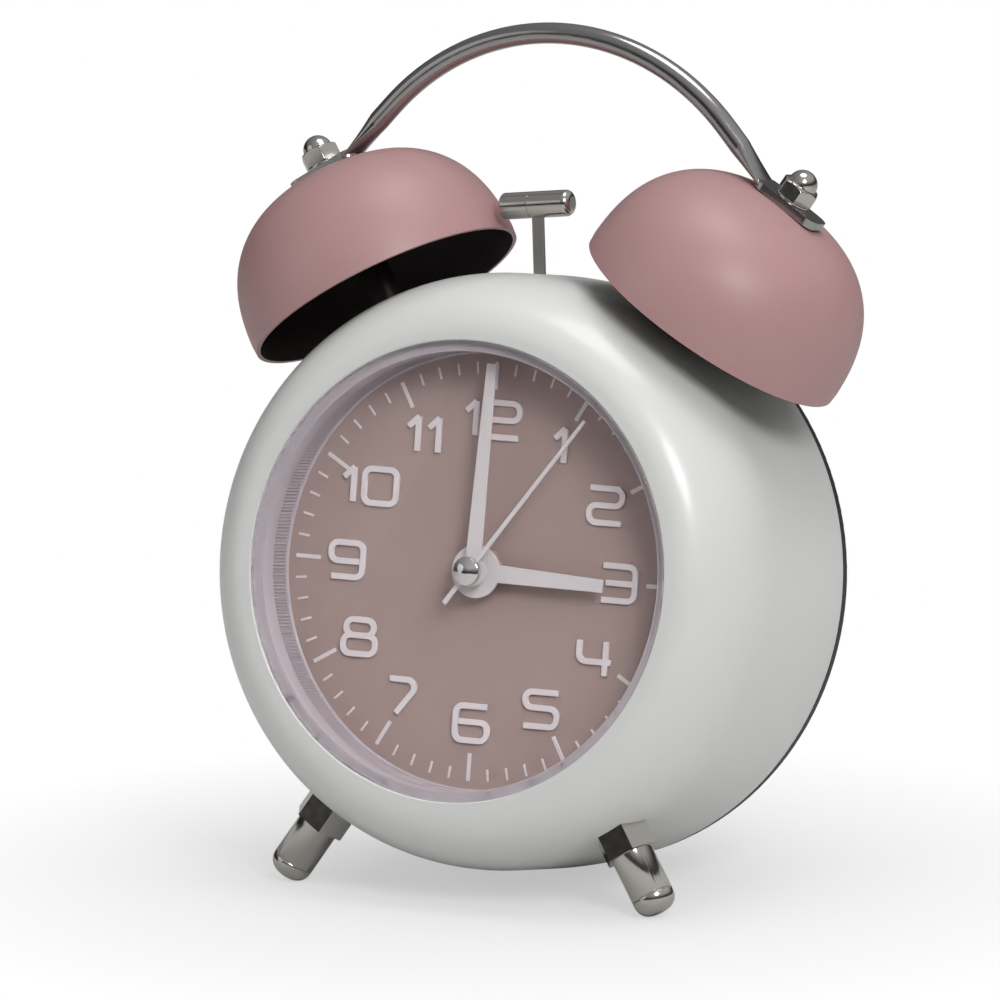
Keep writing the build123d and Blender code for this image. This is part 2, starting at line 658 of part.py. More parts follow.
def setting_stem(teeth, module, phase, at, span):
    rear = knob_front() + KNOB_THICK - KNOB_CROWN
    return gear(teeth, module, phase, span, at=at) + disc(STEM_R, housing_front() + 0.3, rear, *at)


def make_knobs():
    front = knob_front()
    rear = front + KNOB_THICK
    for name, at in (("time_setting_knob", time_stem_at()), ("alarm_setting_knob", alarm_stem_at())):
        knob = disc(KNOB_R, front, rear, *at)
        knob = chamfer(knob.edges().filter_by(GeomType.CIRCLE).sort_by(Axis.Y)[-1], 0.6)
        for flute in range(KNOB_FLUTES):
            x, z = polar(KNOB_R, flute * 360 / KNOB_FLUTES)
            knob -= disc(FLUTE_R, front, rear, at[0] + x, at[1] + z)
        parts[name] = knob - disc(STEM_R, front, rear - KNOB_CROWN, *at)


# ---------------------------------------------------------------- bells
def dome_face(radius, high):
    """Half outline of a dome as a face: radius along X, height along Z."""
    steps = 10
    points = []
    for step in range(steps + 1):
        turn = step / steps * pi / 2
        share = 2 / BELL_FULLNESS
        across = radius * cos(turn) ** share if step < steps else 0
        points.append((across, 0, high * sin(turn) ** share))
    curve = Spline(*points, tangents=((0, 0, 1), (-1, 0, 0)))
    return make_face([curve, Polyline((0, 0, high), (0, 0, 0), (radius, 0, 0))])


def dome_height(radius, high, at):
    """Height of a dome at a distance from its axis."""
    return high * (1 - (at / radius) ** BELL_FULLNESS) ** (1 / BELL_FULLNESS)


def upright(radius, height):
    """Cylinder that stands on its own frame's floor."""
    return Cylinder(radius, height, align=(Align.CENTER, Align.CENTER, Align.MIN))


def make_bells():
    outer = revolve(dome_face(BELL_R, BELL_HIGH), Axis.Z)
    inner = revolve(dome_face(BELL_R - BELL_WALL, BELL_HIGH - BELL_WALL), Axis.Z)
    bell = outer - inner - Cylinder(POST_THREAD_R + POST_FIT, 3 * BELL_HIGH)
    top = dome_height(BELL_R - BELL_WALL, BELL_HIGH - BELL_WALL, POST_BODY_R) - 0.02
    stack = BELL_WALL + TAB_THICK + WASHER_THICK + NUT_HIGH + 1
    over = BELL_HIGH + TAB_THICK
    whole = solid_case()
    body = Pos(0, 0, -BELL_GAP - 1) * upright(POST_BODY_R, top + BELL_GAP + 1)
    thread = Pos(0, 0, -BELL_GAP - 8) * upright(POST_THREAD_R, top + stack + BELL_GAP)
    posts, washers, nuts, inner_nuts = [], [], [], []
    for side, name in ((-1, "left"), (1, "right")):
        place = bell_frame(side)
        parts[name + "_bell"] = place * bell
        posts.append((place * body - whole) + place * thread)
        washer = upright(WASHER_R, WASHER_THICK) - Cylinder(POST_THREAD_R, 2)
        washers.append(place * Pos(0, 0, over) * washer)
        nuts.append(place * Pos(0, 0, over + WASHER_THICK) * acorn_nut())
        nut_place = Pos(0, 0, -BELL_GAP - WALL - INNER_NUT_HIGH - 0.9)
        inner_nuts.append(place * nut_place * inner_nut(POST_THREAD_R, NUT_AF))
    parts["bell_posts"] = Compound(posts)
    parts["bell_washers"] = Compound(washers)
    parts["acorn_nuts"] = Compound(nuts)
    return inner_nuts


def acorn_nut():
    corner_r = NUT_AF / sqrt(3) + 0.3
    bevel = Cone(corner_r, NUT_AF / 2 - 0.1, 0.8, align=(Align.CENTER, Align.CENTER, Align.MIN))
    turned_blank = upright(corner_r, NUT_HIGH - 0.8) + Pos(0, 0, NUT_HIGH - 0.8) * bevel
    body = extrude(hexagon(NUT_AF), NUT_HIGH) & turned_blank
    dome = Sphere(DOME_R) & upright(DOME_R, DOME_R)
    return body + Pos(0, 0, NUT_HIGH) * dome - upright(POST_THREAD_R, NUT_HIGH + 1)


def inner_nut(bore, flats):
    """Plain nut with its washer, as it sits against the inside of the case."""
    nut = extrude(hexagon(flats), INNER_NUT_HIGH) + Pos(0, 0, INNER_NUT_HIGH) * upright(flats / 2, 0.5)
    return nut - Cylinder(bore, 20)


# ---------------------------------------------------------------- handle
def make_handle():
    start = radians(HANDLE_ARC)
    crown_z = (bell_frame(1) * Pos(0, 0, BELL_HIGH)).position.Z
    top_z = crown_z + HANDLE_RISE
    middle_z = top_z - HANDLE_R
    knee = (HANDLE_R * sin(start), middle_z + HANDLE_R * cos(start))
    down = (cos(start), -sin(start))
    end = (knee[0] + HANDLE_STRAIGHT * down[0], knee[1] + HANDLE_STRAIGHT * down[1])
    path = (Line((-end[0], 0, end[1]), (-knee[0], 0, knee[1]))
            + ThreePointArc((-knee[0], 0, knee[1]), (0, 0, top_z), (knee[0], 0, knee[1]))
            + Line((knee[0], 0, knee[1]), (end[0], 0, end[1])))
    lean = Pos(0, BELL_Y, crown_z) * Rot(X=HANDLE_LEAN) * Pos(0, 0, -crown_z)
    section = Plane(origin=(-end[0], 0, end[1]), x_dir=(0, 1, 0), z_dir=(down[0], 0, -down[1]))
    arch = lean * sweep(section * Circle(HANDLE_D / 2), path=path)
    for side in (-1, 1):
        round_end = lean * (Plane(origin=(side * end[0], 0, end[1]), x_dir=(0, 1, 0),
                                  z_dir=(side * down[0], 0, down[1])) * Circle(HANDLE_D / 2))
        tab_start = Plane(origin=(-side * (TAB_LONG / 2 - TAB_OVERLAP), 0, BELL_HIGH + TAB_THICK / 2),
                          x_dir=(0, 1, 0), z_dir=(side, 0, 0))
        flat_end = bell_frame(side) * (tab_start * Ellipse(TAB_WIDE / 2, TAB_THICK / 2))
        arch += loft([round_end.faces()[0], flat_end.faces()[0]])
        tab = extrude(RectangleRounded(TAB_LONG, TAB_WIDE, TAB_WIDE / 3), TAB_THICK)
        arch += bell_frame(side) * Pos(0, 0, BELL_HIGH) * (tab - Cylinder(POST_THREAD_R + POST_FIT, 8))
    parts["handle"] = arch


# ---------------------------------------------------------------- hammer and bell drive
def hammer_frame():
    return Pos(0, HAMMER_Y, pivot_z()) * Rot(Y=HAMMER_REST)


def make_hammer():
    tail = TAIL_REACH + 4.5
    arm = facing(ARM_THICK / 2) * (Pos(0, HEAD_REACH / 2) * Rectangle(ARM_WIDE, HEAD_REACH) + Circle(3.2)
                                   + Pos(0, -tail / 2) * RectangleRounded(5.0, tail, 1.0))
    arm = extrude(arm, ARM_THICK)
    arm -= Rot(X=90) * Cylinder(2.0, 3)
    arm -= Pos(0, 0, -TAIL_REACH) * Box(2 * CRANK_PIN_R + 0.3, 3, 6.4)
    place = hammer_frame()
    parts["hammer_arm"] = place * arm
    bush = disc(2.0, -ARM_THICK / 2, ARM_THICK / 2) + disc(2.7, ARM_THICK / 2, BRACKET_Y - HAMMER_Y - 0.3)
    parts["hammer_bush"] = place * (bush - disc(STEM_R + RUN, -5, 10))

    lying = Pos(0, 0, HEAD_REACH) * Rot(Y=90)
    slot = Pos(0, 0, HEAD_REACH - 2) * Box(ARM_WIDE, ARM_THICK, 4)
    low = lying * Pos(0, 0, -HEAD_LONG / 2) * upright(HEAD_D / 2, HEAD_LONG / 2 + HEAD_SPLIT)
    low = chamfer(low.edges().filter_by(GeomType.CIRCLE).sort_by(Axis.X)[0], 0.5)
    high = lying * Pos(0, 0, HEAD_SPLIT) * upright(HEAD_D / 2, HEAD_LONG / 2 - HEAD_SPLIT)
    high = fillet(high.edges().filter_by(GeomType.CIRCLE).sort_by(Axis.X)[-1], 1.4)
    parts["hammer_head"] = place * (high - slot)
    parts["hammer_head_cap"] = place * (low - slot)


def make_drive():
    gear_z = pivot_z() - TAIL_REACH
    back = BRACKET_Y + BRACKET_THICK
    motor_x, motor_rise = polar(DRIVE_TRAIN, MOTOR_ANGLE)
    motor_at = (motor_x, gear_z + motor_rise)
    module = 2 * DRIVE_TRAIN / (DRIVE_TEETH + PINION_TEETH)
    wheel = slab(gear_sketch(DRIVE_TEETH, module, MOTOR_ANGLE, 0, 0, gear_z), *DRIVE_GEAR_AT)
    wheel += disc(3.0, DRIVE_GEAR_AT[1], BRACKET_Y - 0.3, 0, gear_z)
    crank = asin(TAIL_REACH * sin(radians(-HAMMER_REST)) / CRANK_R)
    pin_at = (CRANK_R * sin(crank), gear_z + CRANK_R * cos(crank))
    wheel += disc(CRANK_PIN_R, HAMMER_Y + ARM_THICK / 2 + 0.2, DRIVE_GEAR_AT[0], *pin_at)
    wheel -= disc(STEM_R + RUN, AXLE_FROM - 0.3, BRACKET_Y, 0, gear_z)
    parts["drive_gear"] = wheel
    phase = mesh_phase(DRIVE_TEETH, MOTOR_ANGLE, MOTOR_ANGLE, PINION_TEETH)
    pinion = slab(gear_sketch(PINION_TEETH, module, phase, 0, *motor_at), *MOTOR_PINION_AT)
    parts["motor_pinion"] = pinion + disc(0.75, MOTOR_PINION_AT[1], back + 2, *motor_at)
    motor = disc(MOTOR_R, back, back + MOTOR_LONG, *motor_at)
    motor -= disc(0.8, back, back + 2.2, *motor_at)
    motor += disc(2.2, back + MOTOR_LONG, back + MOTOR_LONG + 0.8, *motor_at)
    parts["bell_motor"] = motor
    plate_top, plate_low = pivot_z() + 5, BRACKET_LEG_Z - 4
    plate = RectangleRounded(2 * BRACKET_LEG_X + 6, plate_top - plate_low, 3)
    plate = Pos(0, (plate_top + plate_low) / 2) * plate
    plate += Pos(4, gear_z - 2) * RectangleRounded(30, 16, 3)
    bracket = slab(plate, BRACKET_Y, back) - disc(1.2, BRACKET_Y, back, *motor_at)
    bracket -= disc(STEM_R, BRACKET_Y, back, 0, gear_z) + disc(STEM_R, BRACKET_Y, back, 0, pivot_z())
    screws = []
    for side in (-1, 1):
        at = (side * BRACKET_LEG_X, BRACKET_LEG_Z)
        bracket += disc(2.6, housing_back(), BRACKET_Y, *at)
        bracket -= disc(SCREW_R - 0.5, housing_back(), back, *at)
        thread = disc(SCREW_R - 0.5, housing_back() - HOUSING_WALL, back, *at)
        screws.append(thread + disc(2.0, back, back + 1.4, *at))
    parts["hammer_bracket"] = bracket
    axle = disc(STEM_R, AXLE_FROM, back, 0, gear_z)
    pivot = disc(STEM_R, HAMMER_Y - ARM_THICK / 2 - 0.6, back, 0, pivot_z())
    parts["bracket_pins"] = Compound([axle, pivot])
    return screws


# ---------------------------------------------------------------- feet
def make_feet(nuts):
    whole = solid_case()
    base = CASE_R - 3
    collar_top = CASE_R + FOOT_COLLAR_HIGH - 0.6
    collar = Pos(0, 0, base) * extrude(hexagon(FOOT_COLLAR_AF), collar_top - base)
    leg = Pos(0, 0, base) * upright(FOOT_D / 2, FOOT_END_R - base)
    leg = fillet(leg.edges().filter_by(GeomType.CIRCLE).sort_by(Axis.Z)[-1], FOOT_EDGE)
    stud = Pos(0, 0, base - 8) * upright(FOOT_STUD_R, 14)
    feet = []
    for side in (-1, 1):
        place = foot_frame(side)
        feet.append((place * (collar + leg) - whole) + place * stud)
        nuts.append(place * Pos(0, 0, base - 5) * inner_nut(FOOT_STUD_R, FOOT_NUT_AF))
    parts["feet"] = Compound(feet)
    parts["inner_nuts"] = Compound(nuts)


# ---------------------------------------------------------------- rear cover and what it carries
def cell_heights():
    return CELL_TOP_Z, CELL_TOP_Z - 2 * CELL_R - CELL_APART


def bay_size():
    """Inside length, lower edge and upper edge of the battery bay."""
    upper, lower = cell_heights()
    reach = CELL_LONG + CELL_NUB + SPRING_SPACE + 2 * BAY_CONTACT
    return reach, lower - CELL_R - CELL_GAP, upper + CELL_R + CELL_GAP


def make_rear():
    inside, outside = CASE_DEPTH, CASE_DEPTH + COVER_THICK
    reach, low, high = bay_size()
    middle = (low + high) / 2
    tall = high - low
    bay_front = outside - DOOR_THICK - 2 * CELL_R - 2 * CELL_GAP - BAY_WALL
    rim_r = CASE_REAR_R - WALL - 0.1
    cover = disc(COVER_R, inside, outside)
    cover = fillet(cover.edges().filter_by(GeomType.CIRCLE).sort_by(Axis.Y)[-1], 0.6)
    cover += slab(Circle(rim_r) - Circle(rim_r - SPIGOT_WALL), inside - SPIGOT_LENGTH, inside)
    cover += slab(Pos(0, middle) * Rectangle(reach + 2 * BAY_WALL, tall + 2 * BAY_WALL), bay_front, inside)
    cover -= slab(Pos(0, middle) * Rectangle(reach, tall), bay_front + BAY_WALL, outside)
    lip = Pos(0, middle) * Rectangle(reach + 2.4, tall + 2.4)
    cover -= slab(lip, outside - DOOR_THICK, outside)
    for at in (time_stem_at(), alarm_stem_at()):
        cover -= disc(STEM_R + 0.4, inside, outside, *at)
    screws = []
    for angle in corner_angles():
        x, z = polar(SCREW_RADIAL, angle)
        cover -= disc(BOSS_R + 0.4, inside - SPIGOT_LENGTH - 1, inside, x, z)
        cover -= slab(Pos(*polar(SCREW_RADIAL + 3, angle)) * Rot(Z=angle) * Rectangle(8, 3.2),
                      inside - SPIGOT_LENGTH - 1, inside)
        cover -= disc(SCREW_R + 0.1, inside, outside, x, z)
        cover -= disc(SCREW_HEAD_R + 0.1, outside - SCREW_HEAD, outside, x, z)
        screw = disc(SCREW_HEAD_R, outside - SCREW_HEAD, outside - 0.1, x, z)
        screw -= slab(Pos(x, z) * (Rectangle(3.4, 0.7) + Rectangle(0.7, 3.4)), outside - 0.7, outside)
        screws.append(screw + disc(SCREW_R, inside - SCREW_LONG + 1, outside - SCREW_HEAD, x, z))
    parts["rear_screws"] = Compound(screws)

    # battery door, cells and contacts
    door = slab(Pos(0, middle) * Rectangle(reach + 2.4 - 2 * DOOR_MARGIN, tall + 2.4 - 2 * DOOR_MARGIN),
                outside - DOOR_THICK, outside)
    for rib in range(5):
        door -= slab(Pos(reach / 2 - 5 - 1.8 * rib, middle) * Rectangle(0.8, 9), outside - 0.5, outside)
    parts["battery_door"] = door
    cell_y = bay_front + BAY_WALL + CELL_GAP + CELL_R
    cells, springs, plates = [], [], []
    for index, z in enumerate(cell_heights()):
        turn = 1 - 2 * index
        body_x = turn * (SPRING_SPACE - CELL_NUB) / 2
        lying = Pos(body_x, cell_y, z) * Rot(Y=90 * turn)
        cell = Cylinder(CELL_R, CELL_LONG)
        cell = chamfer(cell.edges(), 0.5)
        cell += Pos(0, 0, CELL_LONG / 2) * upright(CELL_NUB_R, CELL_NUB)
        cells.append(lying * cell)
        for side in (-1, 1):
            x = side * (reach - BAY_CONTACT) / 2
            plates.append(Pos(x, cell_y, z) * Box(BAY_CONTACT, 10, 10))
        low_x = -turn * (reach / 2 - BAY_CONTACT)
        helix = Helix(0.9, 2.9, 3.0, center=(0, 0, SPRING_WIRE))
        wire = Plane(origin=(3.0, 0, SPRING_WIRE), z_dir=(0, 1, 0)) * Circle(SPRING_WIRE)
        coil = sweep(wire, path=helix)
        springs.append(Pos(low_x, cell_y, z) * Rot(Y=90 * turn) * coil)
    parts["aa_cells"] = Compound(cells)
    parts["battery_contacts"] = Compound(plates + springs)

    # light button, its spring and its switch board
    guide_r = BUTTON_R + BUTTON_FLANGE + 0.6
    board_y = inside - GUIDE_LONG
    guide = Circle(guide_r + GUIDE_WALL) - Circle(guide_r)
    cover += slab(Pos(0, BUTTON_Z) * guide, board_y, inside)
    cover -= disc(BUTTON_R + 0.1, inside, outside, 0, BUTTON_Z)
    cap = disc(BUTTON_R, inside - 1.0, outside + 2.2, 0, BUTTON_Z)
    cap = fillet(cap.edges().filter_by(GeomType.CIRCLE).sort_by(Axis.Y)[-1], 0.7)
    cap += disc(BUTTON_R + BUTTON_FLANGE, inside - 1.1, inside - 0.1, 0, BUTTON_Z)
    cap += disc(1.2, inside - 3.2, inside - 1.0, 0, BUTTON_Z)
    parts["light_button"] = cap
    board = slab(Pos(0, BUTTON_Z) * Circle(guide_r + GUIDE_WALL), board_y - 1.0, board_y)
    tact = Pos(0, BUTTON_Z) * Rectangle(6, 6)
    parts["light_switch"] = board + slab(tact, board_y, inside - 3.2 - BUTTON_TRAVEL - 0.2)
    room = inside - 1.1 - board_y
    rise = room - 2 * SPRING_WIRE - 0.1
    wire = Plane(origin=(SPRING_R, 0, 0), z_dir=(0, 1, 0)) * Circle(SPRING_WIRE)
    coil = sweep(wire, path=Helix(rise / SPRING_TURNS, rise, SPRING_R))
    parts["light_button_spring"] = Pos(0, board_y + SPRING_WIRE + 0.05, BUTTON_Z) * Rot(X=-90) * coil

    # alarm on/off slide switch
    slot_wide = SWITCH_TRAVEL + 4.4
    cover -= slab(Pos(SWITCH_X, SWITCH_Z) * Rectangle(slot_wide, 3.6), inside, outside)
    body = slab(Pos(SWITCH_X, SWITCH_Z) * Rectangle(slot_wide + 5, 8), inside - 5, inside)
    body -= slab(Pos(SWITCH_X, SWITCH_Z) * Rectangle(slot_wide, 3.6), inside - 3.6, inside)
    parts["alarm_switch_body"] = body
    off_at = Pos(SWITCH_X - SWITCH_TRAVEL / 2, SWITCH_Z)
    slider = slab(off_at * Rectangle(4.0, 3.4), inside - 3.5, outside + 1.6)
    slider -= slab(off_at * Rectangle(0.8, 3.6), outside + 1.0, outside + 1.6)
    parts["alarm_switch_slider"] = slider
    parts["rear_cover"] = cover


def make_light():
    front, back = DIAL_Y - 4.4, housing_front()
    led = disc(LED_R, front, back, 0, LED_RADIAL)
    board = slab(Pos(0, LED_RADIAL - 1) * Rectangle(12, 7), back, back + 1.0)
    parts["dial_light"] = led + Pos(0, front, LED_RADIAL) * Sphere(LED_R) + board


# ---------------------------------------------------------------- standing on its feet
def lean_angle():
    """Lean, in degrees, at which both feet and the rear cover's lower edge touch the table."""
    splay = radians(FOOT_SPLAY)
    rear = CASE_DEPTH + COVER_THICK - 0.6

    def gap(lean):
        down = cos(lean) * cos(splay)
        foot = FOOT_Y * sin(lean) + (FOOT_END_R - FOOT_EDGE) * down + FOOT_EDGE
        foot += (FOOT_D / 2 - FOOT_EDGE) * sqrt(1 - down ** 2)
        edge = rear * sin(lean) + (COVER_R - 0.6) * cos(lean) + 0.6
        return foot - edge

    low, high = 0.0, radians(40)
    for _ in range(60):
        middle = (low + high) / 2
        if gap(middle) > 0:
            low = middle
        else:
            high = middle
    return degrees(low)


def build():
    parts["case_shell"] = make_case()
    parts["lens"] = make_lens()
    parts["reflector_ring"] = make_ring()
    parts["dial"] = make_dial()
    parts["dial_marks"] = make_marks()
    parts["dial_numerals"] = make_numerals()
    parts["dial_support"], inner_screws = make_support()
    parts.update(make_hands())
    parts["second_hand_cap"] = make_cap()
    make_housing()
    make_alarm_train()
    make_hand_train()
    make_seconds_train()
    make_electrics()
    make_knobs()
    inner_nuts = make_bells()
    make_handle()
    make_hammer()
    inner_screws += make_drive()
    parts["inner_screws"] = Compound(inner_screws)
    make_feet(inner_nuts)
    make_rear()
    make_light()


def stand():
    """Lean every piece back and put the middle of the footprint at the origin."""
    lean = Rot(X=-lean_angle())
    leaned = {name: [lean * solid for solid in shape.solids()] for name, shape in parts.items()}
    boxes = [solid.bounding_box() for solids in leaned.values() for solid in solids]
    low = min(box.min.Z for box in boxes)
    front = min(box.min.Y for box in boxes)
    back = max(box.max.Y for box in boxes)
    shift = Pos(0, -(front + back) / 2, -low)
    return {name: Compound([shift * solid for solid in solids]) for name, solids in leaned.items()}


build()
os.makedirs("parts", exist_ok=True)
for name, shape in stand().items():
    export_step(shape, "parts/" + name + ".step")
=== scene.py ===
"""Twin-bell alarm clock: the shapes and finishes that show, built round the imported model."""
import json
from math import asin, cos, pi, radians, sin

import bpy
from mathutils import Matrix, Vector

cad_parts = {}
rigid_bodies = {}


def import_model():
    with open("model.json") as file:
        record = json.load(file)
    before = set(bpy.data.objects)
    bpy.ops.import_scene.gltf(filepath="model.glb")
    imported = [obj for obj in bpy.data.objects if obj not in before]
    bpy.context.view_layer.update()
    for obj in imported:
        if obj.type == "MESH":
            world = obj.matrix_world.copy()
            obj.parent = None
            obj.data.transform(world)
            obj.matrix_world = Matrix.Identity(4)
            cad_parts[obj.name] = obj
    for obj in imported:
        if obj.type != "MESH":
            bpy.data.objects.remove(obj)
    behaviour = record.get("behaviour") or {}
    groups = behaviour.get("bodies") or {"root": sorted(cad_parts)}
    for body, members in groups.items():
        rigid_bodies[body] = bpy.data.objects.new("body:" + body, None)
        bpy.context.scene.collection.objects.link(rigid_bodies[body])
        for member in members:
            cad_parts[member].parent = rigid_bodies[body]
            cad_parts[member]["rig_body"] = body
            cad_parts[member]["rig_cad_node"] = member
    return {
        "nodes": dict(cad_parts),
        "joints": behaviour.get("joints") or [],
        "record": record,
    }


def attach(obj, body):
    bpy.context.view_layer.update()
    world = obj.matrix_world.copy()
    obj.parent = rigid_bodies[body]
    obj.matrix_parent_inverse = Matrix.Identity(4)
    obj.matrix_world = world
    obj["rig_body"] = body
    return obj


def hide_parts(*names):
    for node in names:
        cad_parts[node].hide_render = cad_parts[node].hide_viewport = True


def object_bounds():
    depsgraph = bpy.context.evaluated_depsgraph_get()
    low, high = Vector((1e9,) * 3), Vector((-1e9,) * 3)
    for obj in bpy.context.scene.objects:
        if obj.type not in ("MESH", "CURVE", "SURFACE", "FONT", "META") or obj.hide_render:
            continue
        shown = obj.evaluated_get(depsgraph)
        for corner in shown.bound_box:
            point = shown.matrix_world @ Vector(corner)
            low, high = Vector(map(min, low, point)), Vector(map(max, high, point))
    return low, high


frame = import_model()
cad_box = [list(corner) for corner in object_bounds()]

MM = 0.001
NODES = frame["nodes"]
JOINTS = {joint["name"]: joint for joint in frame["joints"]}
BODY = "case"
WHITE = (1, 1, 1, 1)

# Doubles are merged within these distances: lathed pieces, then copies of CAD nodes.
LATHE_WELD = 0.003 * MM
COPY_WELD = 0.002 * MM
FLAT_WITHIN = 0.4       # degrees, faces that are merged into one flat face
EDGE_FROM = 35          # degrees, edges that are eased
CREASE = 30             # degrees, edges of a worked copy that stay sharp

# Case, as seen along its round section.
CASE_DEEP = 55.0 * MM
CASE_WALL = 1.6 * MM
FRONT_FLAT = 45.6 * MM          # radius where the fat front edge starts to turn
SHOULDER_DEEP = 21.0 * MM       # depth at which the edge has turned into the side
STRAIGHT_END = 36.0 * MM        # depth at which the side starts to close in on the rear cover
REAR_EDGE = 0.8 * MM
LENS_GAP = 0.12 * MM
LENS_LEDGE = 1.65 * MM          # width of the ledge that carries the lens
LEDGE_THICK = 1.9 * MM
HAMMER_SLOT = (11.3 * MM, 2.6 * MM, 9 * MM)
SLOT_ROUND = 1.25 * MM

# Reflector ring.
RING_BORE = 41.9 * MM
RING_WALL = 0.6 * MM
FLANGE_THICK = 1.4 * MM
BAND_TALL = 4.2 * MM            # smooth part in front of the ribs
RIBS = 400
RIB_ROOT = 0.42 * MM            # outwards from the bore
RIB_TIP = 0.03 * MM
RIM_IN = 0.35 * MM              # the rim at the dial stands in by this much
RIM_OUT = 0.45 * MM
RIM_TALL = 0.5 * MM

# Bells and feet.
BELL_TILT = 32.4
BELL_WALL = 1.1 * MM
BELL_FULLNESS = 2.5             # 2 would be an ellipse
RIM_ROUND = 0.35 * MM
FOOT_SPLAY = 33.2
LEG_R = 4.1 * MM
SEAM_DEEP = 0.13 * MM
SEAM_HALF = 0.16 * MM
SEAM_FROM_END = 3.5 * MM


# ---------------------------------------------------------------- the upright clock
def box_in(node, axes, side=0):
    """Lowest and highest corner of a node along the axes of a matrix; side keeps its left or right half."""
    back = axes.inverted()
    points = [back @ v.co for v in NODES[node].data.vertices if side * v.co.x >= 0]
    low = Vector([min(p[k] for p in points) for k in range(3)])
    high = Vector([max(p[k] for p in points) for k in range(3)])
    return low, high


LEAN = asin(-JOINTS["minute_turn"]["axis"][2])
UPRIGHT = Matrix.Rotation(-LEAN, 4, "X")
ON_AXIS = UPRIGHT.inverted() @ Vector(JOINTS["minute_turn"]["pos_m"])
CASE_FRONT = box_in("case_shell", UPRIGHT)[0].y
CLOCK = UPRIGHT @ Matrix.Translation((0, CASE_FRONT, ON_AXIS.z))    # X right, Y backwards, Z up
DIAL_FACE = CLOCK @ Matrix.Rotation(pi / 2, 4, "X")                 # Z towards the viewer of the dial


def turned_frame(side, angle):
    """Clock axes turned about its depth axis, so that local Z points out along a bell or a foot."""
    return CLOCK @ Matrix.Rotation(side * radians(angle), 4, "Y")


# ---------------------------------------------------------------- modelling helpers
def deselect():
    bpy.ops.object.select_all(action="DESELECT")


def only(piece):
    deselect()
    piece.select_set(True)
    bpy.context.view_layer.objects.active = piece


def edit(piece):
    only(piece)
    bpy.ops.object.mode_set(mode="EDIT")


def leave_edit():
    bpy.ops.object.mode_set(mode="OBJECT")


def settle(piece, place):
    """Puts a piece at its place, with the place in its mesh."""
    piece.matrix_world = place
    only(piece)
    bpy.ops.object.transform_apply(location=True, rotation=True, scale=True)


def smooth(piece, angle=35):
    only(piece)
    bpy.ops.object.shade_smooth_by_angle(angle=radians(angle))


def apply(piece, kind, **settings):
    only(piece)
    modifier = piece.modifiers.new(kind.title(), kind)
    for name, value in settings.items():
        setattr(modifier, name, value)
    bpy.ops.object.modifier_apply(modifier=modifier.name)


def join(name, pieces):
    deselect()
    for piece in pieces:
        piece.select_set(True)
    bpy.context.view_layer.objects.active = pieces[0]
    bpy.ops.object.join()
    joined = bpy.context.object
    joined.name = name
    return joined


def cut(piece, tool):
    apply(piece, "BOOLEAN", object=tool, operation="DIFFERENCE", solver="EXACT")
    bpy.data.objects.remove(tool)


def lathe(name, outline, place, steps=96):
    """Turns an outline of (radius, height) points about local Z."""
    deselect()
    bpy.ops.mesh.primitive_plane_add(size=MM)
    piece = bpy.context.object
    piece.name = name
    edit(piece)
    bpy.ops.mesh.merge(type="CENTER")
    bpy.ops.transform.translate(value=(outline[0][0], 0, outline[0][1]))
    for (r0, h0), (r1, h1) in zip(outline, outline[1:]):
        bpy.ops.mesh.extrude_vertices_move(TRANSFORM_OT_translate={"value": (r1 - r0, 0, h1 - h0)})
    bpy.ops.mesh.select_all(action="SELECT")
    bpy.ops.mesh.spin(steps=steps, angle=2 * pi, center=(0, 0, 0), axis=(0, 0, 1))
    bpy.ops.mesh.select_all(action="SELECT")
    bpy.ops.mesh.remove_doubles(threshold=LATHE_WELD)
    bpy.ops.mesh.normals_make_consistent(inside=False)
    leave_edit()
    settle(piece, place)
    smooth(piece)
    return piece


def arc(middle, radius, start, end, steps, squash=1.0):
    """Points of an arc in (radius, height), angles in degrees from the outward direction."""
    points = []
    for step in range(steps + 1):
        angle = radians(start + (end - start) * step / steps)
        points.append((middle[0] + radius * cos(angle), middle[1] + radius * squash * sin(angle)))
    return points


def worked_copy(name, node, edge):
    """Copy of a node with merged corners, its flat faces whole and its edges eased by some millimetres."""
    only(NODES[node])
    bpy.ops.object.duplicate()
    piece = bpy.context.object
    piece.name = name
    piece.parent = None
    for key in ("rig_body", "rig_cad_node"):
        del piece[key]
    piece.data.materials.clear()
    edit(piece)
    bpy.ops.mesh.select_all(action="SELECT")
    bpy.ops.mesh.remove_doubles(threshold=COPY_WELD)
    bpy.ops.mesh.dissolve_limited(angle_limit=radians(FLAT_WITHIN))
    leave_edit()
    apply(piece, "BEVEL", width=edge * MM, segments=2, limit_method="ANGLE",
          angle_limit=radians(EDGE_FROM), use_clamp_overlap=True)
    smooth(piece, CREASE)
    apply(piece, "WEIGHTED_NORMAL", keep_sharp=True)
    return piece


def fit(piece, body, slot, look, *nodes):
    """Hands a piece to the body it moves with, hides the nodes it stands for and gives it its finish."""
    if not piece.data.materials:
        piece.data.materials.append(look)
    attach(piece, body)
    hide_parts(*nodes)


# ---------------------------------------------------------------- finishes
def new_material(name):
    """A material with its nodes and links; its Principled shader is already wired to the output."""
    made = bpy.data.materials.new(name)
    made.use_nodes = True
    return made, made.node_tree.nodes, made.node_tree.links


def map_range(nodes, **limits):
    """A Map Range node; from_min=2 sets its socket From Min to 2."""
    node = nodes.new("ShaderNodeMapRange")
    for name, value in limits.items():
        node.inputs[name.replace("_", " ").title()].default_value = value
    return node


def mix_shaders(nodes, links, share, first, second, surface):
    """Blends two shaders by a share from 0 to 1 and wires the blend to a surface socket."""
    mix = nodes.new("ShaderNodeMixShader")
    links.new(share, mix.inputs["Fac"])
    links.new(first, mix.inputs[1])
    links.new(second, mix.inputs[2])
    links.new(mix.outputs["Shader"], surface)


